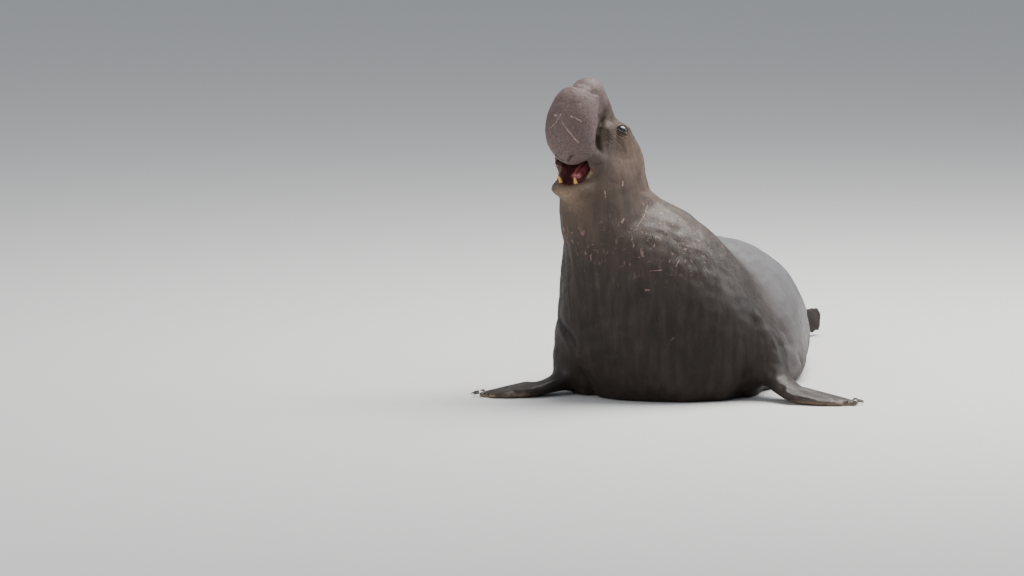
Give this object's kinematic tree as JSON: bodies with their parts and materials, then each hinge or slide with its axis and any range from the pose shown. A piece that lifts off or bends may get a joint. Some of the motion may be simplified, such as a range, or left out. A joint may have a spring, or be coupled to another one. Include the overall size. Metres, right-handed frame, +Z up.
{
  "type": "elephant seal model",
  "caption": "Life-size bull elephant seal resting on its belly and fore flippers, chest and neck raised, head thrown back, mouth open below an inflated hanging nose.",
  "frame": {"origin": "on the floor under the chest, on the flat that the belly rests on", "axes": "-Y is the way the chest faces, +X is the animal's left side, +Z is up, and the trunk and hind flippers run back along +Y"},
  "size_m": [2.1052, 3.2349, 1.7167],
  "materials": {
    "coat": "short flat coat of brown grey hair with a damp sheen",
    "flipper_coat": "short coat on thin leathery flippers, paler at the trailing edge",
    "eye": "wet, very dark brown",
    "tooth": "stained ivory yellow",
    "tongue": "wet maroon pink",
    "claw": "dark horn"
  },
  "bodies": {
    "root": {"head": "coat", "proboscis": "coat", "lower_jaw": "coat", "neck": "coat", "chest": "coat", "loin": "coat", "haunch": "coat", "tail": "coat", "fore_flipper_left": "flipper_coat", "fore_flipper_right": "flipper_coat", "hind_flipper_left": "flipper_coat", "hind_flipper_right": "flipper_coat", "eye_left": "eye", "eye_right": "eye", "tongue": "tongue", "canine_left": "tooth", "canine_right": "tooth", "claw_left_1": "claw", "claw_left_2": "claw", "claw_left_3": "claw", "claw_left_4": "claw", "claw_left_5": "claw", "claw_right_1": "claw", "claw_right_2": "claw", "claw_right_3": "claw", "claw_right_4": "claw", "claw_right_5": "claw"}
  },
  "joints": []
}
